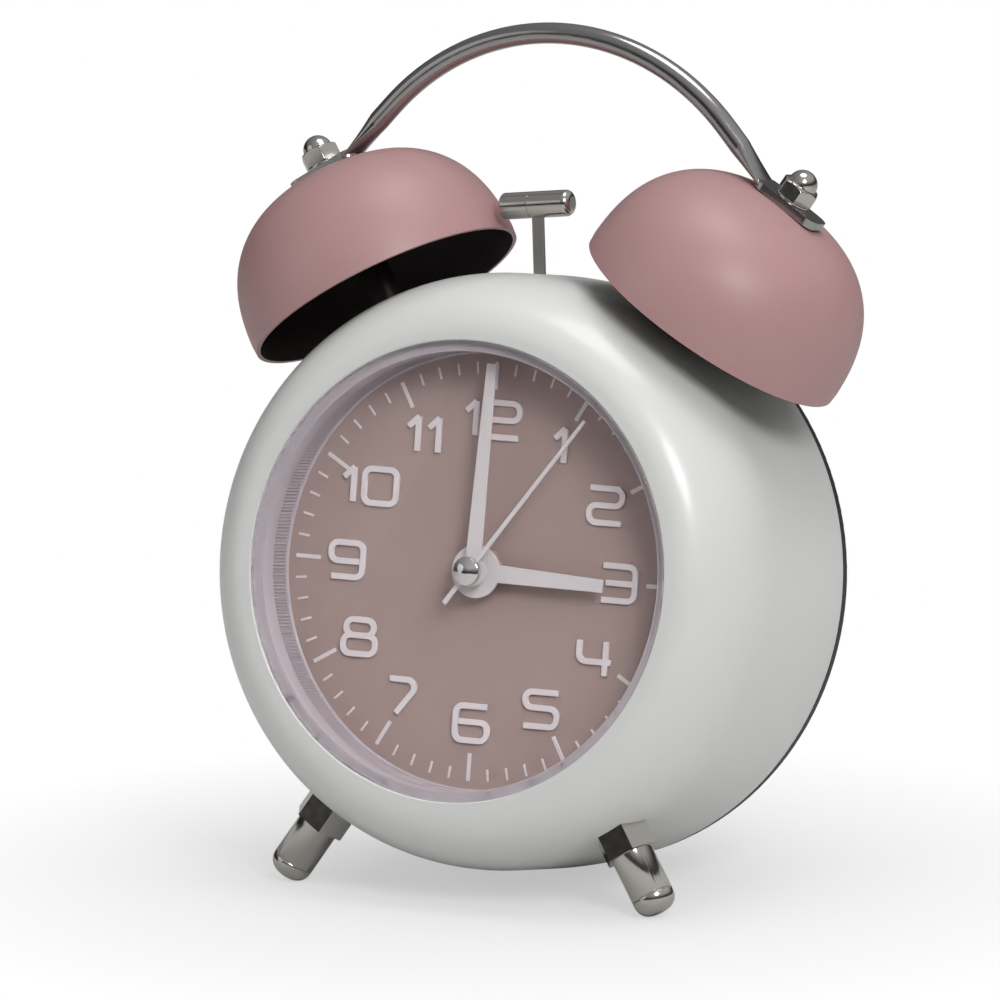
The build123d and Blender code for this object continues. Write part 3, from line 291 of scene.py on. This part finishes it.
def finish(name, colour, roughness, metallic=0.0, grain=600.0, mottle=0.04, bump=0.02, coat=0.0,
           stretch=(1, 1, 1), rough_spread=0.06):
    """A surface with fine colour variation, uneven gloss and a light texture."""
    made, nodes, links = new_material(name)
    shader = nodes["Principled BSDF"]
    shader.inputs["Metallic"].default_value = metallic
    shader.inputs["Coat Weight"].default_value = coat
    shader.inputs["Coat Roughness"].default_value = 0.12
    place = nodes.new("ShaderNodeTexCoord")
    mapping = nodes.new("ShaderNodeMapping")
    mapping.inputs["Scale"].default_value = stretch
    links.new(place.outputs["Object"], mapping.inputs["Vector"])
    cloud = nodes.new("ShaderNodeTexNoise")
    cloud.inputs["Scale"].default_value = grain / 12
    cloud.inputs["Detail"].default_value = 4
    fine = nodes.new("ShaderNodeTexNoise")
    fine.inputs["Scale"].default_value = grain
    fine.inputs["Detail"].default_value = 3
    for noise in (cloud, fine):
        links.new(mapping.outputs["Vector"], noise.inputs["Vector"])
    tint = nodes.new("ShaderNodeMix")
    tint.data_type = "RGBA"
    tint.inputs["A"].default_value = [c * (1 - mottle) for c in colour] + [1]
    tint.inputs["B"].default_value = [min(1, c * (1 + mottle)) for c in colour] + [1]
    links.new(cloud.outputs["Fac"], tint.inputs["Factor"])
    links.new(tint.outputs["Result"], shader.inputs["Base Color"])
    gloss = map_range(nodes, to_min=max(0.02, roughness - rough_spread), to_max=roughness + rough_spread)
    links.new(fine.outputs["Fac"], gloss.inputs["Value"])
    links.new(gloss.outputs["Result"], shader.inputs["Roughness"])
    if bump:
        texture = nodes.new("ShaderNodeBump")
        texture.inputs["Strength"].default_value = bump
        texture.inputs["Distance"].default_value = 0.1 * MM
        links.new(fine.outputs["Fac"], texture.inputs["Height"])
        links.new(texture.outputs["Normal"], shader.inputs["Normal"])
    return made


def clear_finish():
    """Clear acrylic that lets lamps through to the dial."""
    made, nodes, links = new_material("clear_acrylic")
    shader = nodes["Principled BSDF"]
    shader.inputs["Base Color"].default_value = (0.98, 0.975, 0.98, 1)
    shader.inputs["Roughness"].default_value = 0.015
    shader.inputs["IOR"].default_value = 1.3
    shader.inputs["Transmission Weight"].default_value = 1.0
    through = nodes.new("ShaderNodeBsdfTransparent")
    path = nodes.new("ShaderNodeLightPath")
    mix_shaders(nodes, links, path.outputs["Is Shadow Ray"], shader.outputs["BSDF"],
                through.outputs["BSDF"], nodes["Material Output"].inputs["Surface"])
    return made


FINISHES = {
    "white_enamel": finish("satin_white_enamel", (0.74, 0.745, 0.725), 0.33,
                           grain=900, mottle=0.015, bump=0.015, coat=0.25),
    "pink_enamel": finish("dusty_pink_enamel", (0.455, 0.262, 0.262), 0.44,
                          grain=1400, mottle=0.03, bump=0.05),
    "dark_steel": finish("dark_polished_steel", (0.36, 0.345, 0.345), 0.17, 1.0,
                         grain=500, mottle=0.05, bump=0.0, rough_spread=0.03),
    "nickel": finish("bright_nickel", (0.52, 0.5, 0.465), 0.13, 1.0,
                     grain=700, mottle=0.06, bump=0.02),
    "steel": finish("plain_steel", (0.42, 0.41, 0.39), 0.3, 1.0,
                    grain=800, mottle=0.08, bump=0.03),
    # Painted shade: this near-black finish makes the bell posts vanish in the shade under the bells.
    "blackened_steel": finish("blackened_steel", (0.05, 0.042, 0.04), 0.4, 0.8,
                              grain=900, mottle=0.1, bump=0.04),
    "black_plastic": finish("textured_black_plastic", (0.022, 0.022, 0.023), 0.5,
                            grain=2500, mottle=0.1, bump=0.12),
    "lavender_plastic": finish("lavender_plastic", (0.47, 0.425, 0.455), 0.22,
                               grain=600, mottle=0.03, bump=0.01, coat=0.3),
    "dial_pink": finish("dial_paint", (0.37, 0.275, 0.255), 0.62,
                        grain=1800, mottle=0.03, bump=0.03),
    "white_print": finish("raised_white_print", (0.72, 0.66, 0.68), 0.45,
                          grain=1500, mottle=0.02, bump=0.02),
    "hand_white": finish("hand_paint", (0.64, 0.60, 0.61), 0.4,
                         grain=1500, mottle=0.02, bump=0.02),
    "clear_lens": clear_finish(),
    "natural_plastic": finish("natural_moulding", (0.6, 0.57, 0.48), 0.42,
                              grain=900, mottle=0.04, bump=0.03),
    "brass": finish("turned_brass", (0.60, 0.42, 0.16), 0.25, 1.0,
                    grain=900, mottle=0.08, bump=0.02),
    "copper": finish("lacquered_copper_wire", (0.45, 0.15, 0.06), 0.3, 1.0,
                     grain=4000, mottle=0.25, bump=0.3, stretch=(1, 0.1, 0.1)),
    "board_green": finish("solder_resist", (0.02, 0.12, 0.045), 0.3,
                          grain=1200, mottle=0.15, bump=0.04),
    "cell_wrap": finish("cell_sleeve", (0.06, 0.075, 0.1), 0.25,
                        grain=500, mottle=0.1, bump=0.01),
}
# Painted shade: near-black paint inside the bells stands in for the shade that falls in their hollows.
BELL_HOLLOW_PAINTED_SHADE = finish("bell_hollow_painted_shade", (0.02, 0.011, 0.010), 0.6,
                     grain=900, mottle=0.2, bump=0.05)
CHROME = finish("polished_chrome", (0.78, 0.78, 0.77), 0.06, 1.0,
                grain=500, mottle=0.02, bump=0.0, rough_spread=0.02)


# ---------------------------------------------------------------- case
def make_case():
    """Round shell from the lens seat, over the fat front edge and back to the lens ledge inside."""
    full = box_in("case_shell", CLOCK)[1].x
    lens = box_in("lens", CLOCK)[1]
    seat, seat_deep = lens.x + LENS_GAP, lens.y
    rear = box_in("rear_cover", CLOCK)[1].x + 0.2 * MM
    bore = seat - LENS_LEDGE
    ledge = seat_deep + LEDGE_THICK
    inside = full - CASE_WALL
    inner_shoulder = SHOULDER_DEEP + CASE_WALL / 2
    outline = [(seat, -seat_deep), (seat, -0.2 * MM), (seat + 0.2 * MM, 0)]
    outline += arc((FRONT_FLAT, -SHOULDER_DEEP), full - FRONT_FLAT, 90, 0, 40,
                   squash=SHOULDER_DEEP / (full - FRONT_FLAT))
    taper_steps = 12
    for step in range(1, taper_steps + 1):
        share = step / taper_steps
        outline.append((full - (full - rear) * share ** 2,
                        -STRAIGHT_END - (CASE_DEEP - REAR_EDGE - STRAIGHT_END) * share))
    outline += [(rear - 0.25 * MM, -CASE_DEEP + 0.2 * MM), (rear - REAR_EDGE, -CASE_DEEP),
                (rear - CASE_WALL, -CASE_DEEP), (inside, -STRAIGHT_END), (inside, -inner_shoulder)]
    outline += arc((FRONT_FLAT, -inner_shoulder), inside - FRONT_FLAT, 0, 90, 16,
                   squash=(inner_shoulder - ledge) / (inside - FRONT_FLAT))
    outline += [(bore, -ledge), (bore, -seat_deep), (seat, -seat_deep)]
    case = lathe("case_body", outline, DIAL_FACE, 240)

    swing = CLOCK.inverted() @ Vector(JOINTS["hammer_swing"]["pos_m"])
    deselect()
    bpy.ops.mesh.primitive_cube_add(size=1)
    slot = bpy.context.object
    settle(slot, CLOCK @ Matrix.Translation((0, swing.y, full)) @ Matrix.Diagonal((*HAMMER_SLOT, 1)))
    apply(slot, "BEVEL", width=SLOT_ROUND, segments=5, limit_method="ANGLE")
    cut(case, slot)
    smooth(case)

    case.data.materials.append(FINISHES["white_enamel"])
    # Painted shade: the faces inside the lens seat get the darker lavender grey for the shade in the recess
    # behind the lens.
    case.data.materials.append(FINISHES["lavender_plastic"])
    inward = DIAL_FACE.inverted()
    for face in case.data.polygons:
        middle = inward @ face.center
        lens_seat_painted_shade = middle.xy.length < seat + 0.01 * MM and middle.z < -0.3 * MM
        face.material_index = 1 if lens_seat_painted_shade else 0
    fit(case, BODY, "white_enamel", FINISHES["white_enamel"], "case_shell")


def make_lens():
    low, high = box_in("lens", DIAL_FACE)
    radius, bevel = high.x, 0.3 * MM
    outline = [(0, low.z), (radius - 0.1 * MM, low.z), (radius, low.z + 0.1 * MM), (radius, high.z - bevel)]
    outline += arc((radius - bevel, high.z - bevel), bevel, 15, 90, 5)
    outline += [(0, high.z)]
    lens = lathe("lens_plate", outline, DIAL_FACE, 192)
    fit(lens, BODY, "clear_lens", FINISHES["clear_lens"], "lens")


def make_ring():
    """Reflector between lens and dial: a smooth band, then fine ribs that run down to the dial."""
    low, high = box_in("reflector_ring", DIAL_FACE)
    outer, flange = RING_BORE + RING_WALL, high.x
    foot, behind, skin = low.z + FLANGE_THICK, RING_BORE + RIM_OUT, RING_BORE + 0.02 * MM
    band = high.z - BAND_TALL
    outline = [(outer, high.z), (outer, foot), (flange, foot), (flange, low.z), (behind, low.z),
               (behind, band - 0.1 * MM), (skin, band), (skin, high.z - 0.4 * MM),
               (RING_BORE + 0.2 * MM, high.z), (outer, high.z)]
    ring = lathe("reflector_band", outline, DIAL_FACE, 200)

    deselect()
    root = RING_BORE + RIB_ROOT
    bpy.ops.mesh.primitive_circle_add(vertices=2 * RIBS, radius=root)
    ribs = bpy.context.object
    ribs.name = "reflector_ribs"
    edit(ribs)
    bpy.ops.mesh.select_all(action="DESELECT")
    leave_edit()
    for vertex in ribs.data.vertices:
        vertex.select = vertex.index % 2 == 0
    edit(ribs)
    inner = (RING_BORE + RIB_TIP) / root
    bpy.ops.transform.resize(value=(inner, inner, 1), center_override=(0, 0, 0))
    bpy.ops.mesh.select_all(action="SELECT")
    bpy.ops.transform.translate(value=(0, 0, low.z + RIM_TALL))
    bpy.ops.mesh.extrude_region_move(TRANSFORM_OT_translate={"value": (0, 0, band - low.z - RIM_TALL)})
    bpy.ops.mesh.select_all(action="SELECT")
    bpy.ops.mesh.normals_make_consistent(inside=True)
    leave_edit()
    settle(ribs, DIAL_FACE)

    edge, top = RING_BORE - RIM_IN, low.z + RIM_TALL
    outline = [(edge, low.z), (behind, low.z), (behind, top), (RING_BORE - 0.15 * MM, top),
               (edge, low.z + 0.3 * MM), (edge, low.z)]
    rim = lathe("reflector_rim", outline, DIAL_FACE, 200)
    whole = join("reflector", [ring, ribs, rim])
    fit(whole, BODY, "lavender_plastic", FINISHES["lavender_plastic"], "reflector_ring")


# ---------------------------------------------------------------- bells
def dome(radius, high, steps):
    """Outline of a bell from rim to crown, without the part that the rounded rim takes."""
    power = 2 / BELL_FULLNESS
    points = []
    for step in range(steps):
        turn = step / steps * pi / 2
        points.append((radius * cos(turn) ** power, high * sin(turn) ** power))
    points.append((0, high))
    return [(r, h) for r, h in points if h > RIM_ROUND]


def make_bell(side, name):
    """Bell with a rounded rim, pink outside and near-black inside; the near-black is painted shade for the
    hollow.
    """
    place = turned_frame(side, BELL_TILT)
    low, high = box_in(name, place)
    radius, tall = (high.x - low.x) / 2, high.z - low.z
    place = place @ Matrix.Translation(((low.x + high.x) / 2, (low.y + high.y) / 2, low.z))
    lip = (radius - BELL_WALL / 2, 0)
    outline = [lip, (radius - 0.15 * MM, 0.05 * MM)]
    outline += dome(radius, tall, 40)
    outline += reversed(dome(radius - BELL_WALL, tall - BELL_WALL, 32))
    outline += [(radius - BELL_WALL + 0.15 * MM, 0.05 * MM), lip]
    bell = lathe(name + "_cup", outline, place, 128)
    bell.data.materials.append(FINISHES["pink_enamel"])
    bell.data.materials.append(BELL_HOLLOW_PAINTED_SHADE)
    # Faces that look into the hollow get the near-black painted shade.
    inward = place.inverted()
    for face in bell.data.polygons:
        middle = inward @ face.center
        normal = inward.to_3x3() @ face.normal
        face.material_index = 1 if normal.dot(middle) < 0 and middle.z > 0.3 * MM else 0
    fit(bell, BODY, "pink_enamel", FINISHES["pink_enamel"], name)


# ---------------------------------------------------------------- feet
def make_feet():
    """Hexagonal collars and barrel legs, each with a fine seam above its rounded end."""
    feet = worked_copy("foot_legs", "feet", 0.22)
    for side in (-1, 1):
        place = turned_frame(1, 180 - side * FOOT_SPLAY)
        low, high = box_in("feet", place, side)
        middle = Matrix.Translation(((low.x + high.x) / 2, (low.y + high.y) / 2, high.z - SEAM_FROM_END))
        outline = [(LEG_R - SEAM_DEEP, 0), (LEG_R + 0.3 * MM, -SEAM_HALF), (LEG_R + 0.3 * MM, SEAM_HALF),
                   (LEG_R - SEAM_DEEP, 0)]
        cut(feet, lathe("seam", outline, place @ middle, 64))
    smooth(feet, CREASE)
    fit(feet, BODY, "nickel", FINISHES["nickel"], "feet")


# ---------------------------------------------------------------- hands, figures, fittings and the rear face
def make_hand_cap():
    """Polished domed cap at the centre of the second hand."""
    low, high = box_in("second_hand_cap", DIAL_FACE)
    radius, tall = high.x, high.z - low.z
    belt = low.z + 0.4 * tall
    outline = [(0, low.z), (radius - 0.15 * MM, low.z), (radius, low.z + 0.12 * MM), (radius, belt)]
    outline += arc((radius - 0.5 * MM, belt), 0.5 * MM, 0, 60, 4)
    shoulders = ((0.72, 0.28), (0.45, 0.08), (0.2, 0.01))
    outline += [(radius * out, high.z - down * tall) for out, down in shoulders]
    outline += [(0, high.z)]
    cap = lathe("hand_cap", outline, DIAL_FACE, 64)
    fit(cap, "second", "nickel", CHROME, "second_hand_cap")


FITTINGS = (
    # piece, node, body, finish, eased edge in millimetres
    ("dial_figures", "dial_numerals", BODY, "white_print", 0.16),
    ("hour_pointer", "hour_hand", "hour", "hand_white", 0.12),
    ("minute_pointer", "minute_hand", "minute", "hand_white", 0.12),
    ("second_pointer", "second_hand", "second", "hand_white", 0.08),
    ("alarm_pointer", "alarm_hand", "alarm", "hand_white", 0.1),
    ("handle_rod", "handle", BODY, "dark_steel", 0.15),
    ("dome_nuts", "acorn_nuts", BODY, "nickel", 0.12),
    ("crown_washers", "bell_washers", BODY, "nickel", 0.1),
    # The posts are near-black as painted shade, so they disappear in the shade under the bells.
    ("bell_pillars", "bell_posts", BODY, "blackened_steel", 0.15),
    ("hammer_stem", "hammer_arm", "hammer", "steel", 0.12),
    ("hammer_body", "hammer_head", "hammer", "nickel", 0.14),
    ("hammer_end", "hammer_head_cap", "hammer", "nickel", 0.14),
    ("rear_panel", "rear_cover", BODY, "black_plastic", 0.2),
    ("battery_lid", "battery_door", "battery_door", "black_plastic", 0.15),
    ("time_knob", "time_setting_knob", "time_setting", "black_plastic", 0.12),
    ("alarm_knob", "alarm_setting_knob", "alarm_setting", "black_plastic", 0.12),
    ("switch_tab", "alarm_switch_slider", "alarm_switch", "black_plastic", 0.12),
    ("light_key", "light_button", "light_button", "black_plastic", 0.12),
    ("cover_screws", "rear_screws", BODY, "steel", 0.08),
    ("printed_marks", "dial_marks", BODY, "white_print", 0.03),
)


def make_fittings():
    for name, node, body, slot, edge in FITTINGS:
        fit(worked_copy(name, node, edge), body, slot, FINISHES[slot], node)


# ---------------------------------------------------------------- everything that keeps its shape
def finish_nodes():
    for part in frame["record"]["subparts"]:
        node = NODES[part["node"]]
        node.data.materials.clear()
        node.data.materials.append(FINISHES[part["material_slot"]])


# ---------------------------------------------------------------- light, floor and camera
LAMPS = (
    # name, size in metres, power in watts, place in metres
    ("key", 0.45, 6.0, (0.75, -0.7, 0.8)),
    ("fill", 0.9, 1.2, (-0.9, -0.8, 0.4)),
    ("top", 0.6, 3.6, (0.15, 0.05, 1.1)),
)
SKY_GREYS = (
    # share of the way from straight down to straight up, grey; the dark band is the horizon
    (0.42, 0.3),
    (0.5, 0.08),
    (0.58, 0.1),
    (0.72, 0.8),
)
SKY_BOTTOM = (0.45, 0.45, 0.45, 1)
SKY_STRENGTH = 0.6


def make_lamps():
    """Round soft lamps aimed at the middle of the clock."""
    target = (Vector(cad_box[0]) + Vector(cad_box[1])) / 2
    for name, size, power, place in LAMPS:
        light = bpy.data.lights.new(name, "AREA")
        light.shape = "DISK"
        light.size = size
        light.energy = power
        holder = bpy.data.objects.new(name, light)
        bpy.context.scene.collection.objects.link(holder)
        holder.location = place
        holder.rotation_euler = (target - Vector(place)).to_track_quat("-Z", "Y").to_euler()


def make_surroundings():
    """Plain white to the camera; to the clock, a soft room that is darker at the horizon and to the left."""
    world = bpy.data.worlds.new("studio")
    bpy.context.scene.world = world
    world.use_nodes = True
    nodes, links = world.node_tree.nodes, world.node_tree.links
    place = nodes.new("ShaderNodeTexCoord")
    split = nodes.new("ShaderNodeSeparateXYZ")
    links.new(place.outputs["Generated"], split.inputs["Vector"])
    rise = map_range(nodes, from_min=-1, from_max=1)
    links.new(split.outputs["Z"], rise.inputs["Value"])
    ramp = nodes.new("ShaderNodeValToRGB")
    links.new(rise.outputs["Result"], ramp.inputs["Fac"])
    stops = ramp.color_ramp.elements
    for position, grey in SKY_GREYS:
        stops.new(position).color = (grey, grey, grey, 1)
    stops[0].color = SKY_BOTTOM
    stops[-1].color = WHITE
    sideways = map_range(nodes, from_min=-1, from_max=0.6, to_min=0.35, to_max=1.1)
    links.new(split.outputs["X"], sideways.inputs["Value"])
    shade = nodes.new("ShaderNodeVectorMath")
    shade.operation = "SCALE"
    links.new(ramp.outputs["Color"], shade.inputs[0])
    links.new(sideways.outputs["Result"], shade.inputs["Scale"])
    soft = nodes["Background"]
    links.new(shade.outputs["Vector"], soft.inputs["Color"])
    soft.inputs["Strength"].default_value = SKY_STRENGTH
    plain = nodes.new("ShaderNodeBackground")
    plain.inputs["Color"].default_value = WHITE
    path = nodes.new("ShaderNodeLightPath")
    mix_shaders(nodes, links, path.outputs["Is Camera Ray"], soft.outputs["Background"],
                plain.outputs["Background"], nodes["World Output"].inputs["Surface"])


def floor_finish():
    """Pale floor with soft shadows, which fades to plain white away from the clock as the camera sees it."""
    made = finish("pale_floor", (0.7, 0.7, 0.7), 0.8, grain=60, mottle=0.005, bump=0.0)
    nodes, links = made.node_tree.nodes, made.node_tree.links
    place = nodes.new("ShaderNodeTexCoord")
    reach = nodes.new("ShaderNodeVectorMath")
    reach.operation = "LENGTH"
    links.new(place.outputs["Object"], reach.inputs[0])
    fade = map_range(nodes, from_min=30 * MM, from_max=130 * MM, to_min=0.5)
    links.new(reach.outputs["Value"], fade.inputs["Value"])
    path = nodes.new("ShaderNodeLightPath")
    seen = nodes.new("ShaderNodeMath")
    seen.operation = "MULTIPLY"
    links.new(fade.outputs["Result"], seen.inputs[0])
    links.new(path.outputs["Is Camera Ray"], seen.inputs[1])
    white = nodes.new("ShaderNodeEmission")
    mix_shaders(nodes, links, seen.outputs["Value"], nodes["Principled BSDF"].outputs["BSDF"],
                white.outputs["Emission"], nodes["Material Output"].inputs["Surface"])
    return made


def make_floor():
    deselect()
    bpy.ops.mesh.primitive_plane_add(size=6, location=(0, 0, 0))
    floor = bpy.context.object
    floor.name = "floor"
    floor.data.materials.append(floor_finish())


CAMERA_AROUND, CAMERA_ABOVE, CAMERA_ROLL = radians(26.49), radians(1.644), radians(4.089)
CAMERA_AWAY = 2299 * MM
CAMERA_TARGET = Vector((-3.169, 23.374, 13.573)) * MM
SENSOR = 36
FOCAL = 11.941 * SENSOR


def make_camera():
    """Looks at the clock from the right and a little above, from far enough away to keep it nearly flat."""
    around, above = CAMERA_AROUND, CAMERA_ABOVE
    back = Vector((sin(around) * cos(above), -cos(around) * cos(above), sin(above)))
    right = Vector((cos(around), sin(around), 0))
    aim = Matrix((right, back.cross(right), back)).transposed().to_4x4()
    camera = bpy.data.cameras.new("camera")
    camera.sensor_width = SENSOR
    camera.lens = FOCAL
    camera.clip_start, camera.clip_end = 0.05, 50
    holder = bpy.data.objects.new("camera", camera)
    bpy.context.scene.collection.objects.link(holder)
    place = Matrix.Translation(CAMERA_TARGET + CAMERA_AWAY * back)
    holder.matrix_world = CLOCK @ place @ aim @ Matrix.Rotation(CAMERA_ROLL, 4, "Z")
    bpy.context.scene.camera = holder


finish_nodes()
make_case()
make_lens()
make_ring()
make_hand_cap()
for side, name in ((-1, "left_bell"), (1, "right_bell")):
    make_bell(side, name)
make_feet()
make_fittings()
bpy.context.scene.view_settings.view_transform = "Standard"
make_lamps()
make_surroundings()
make_floor()
make_camera()
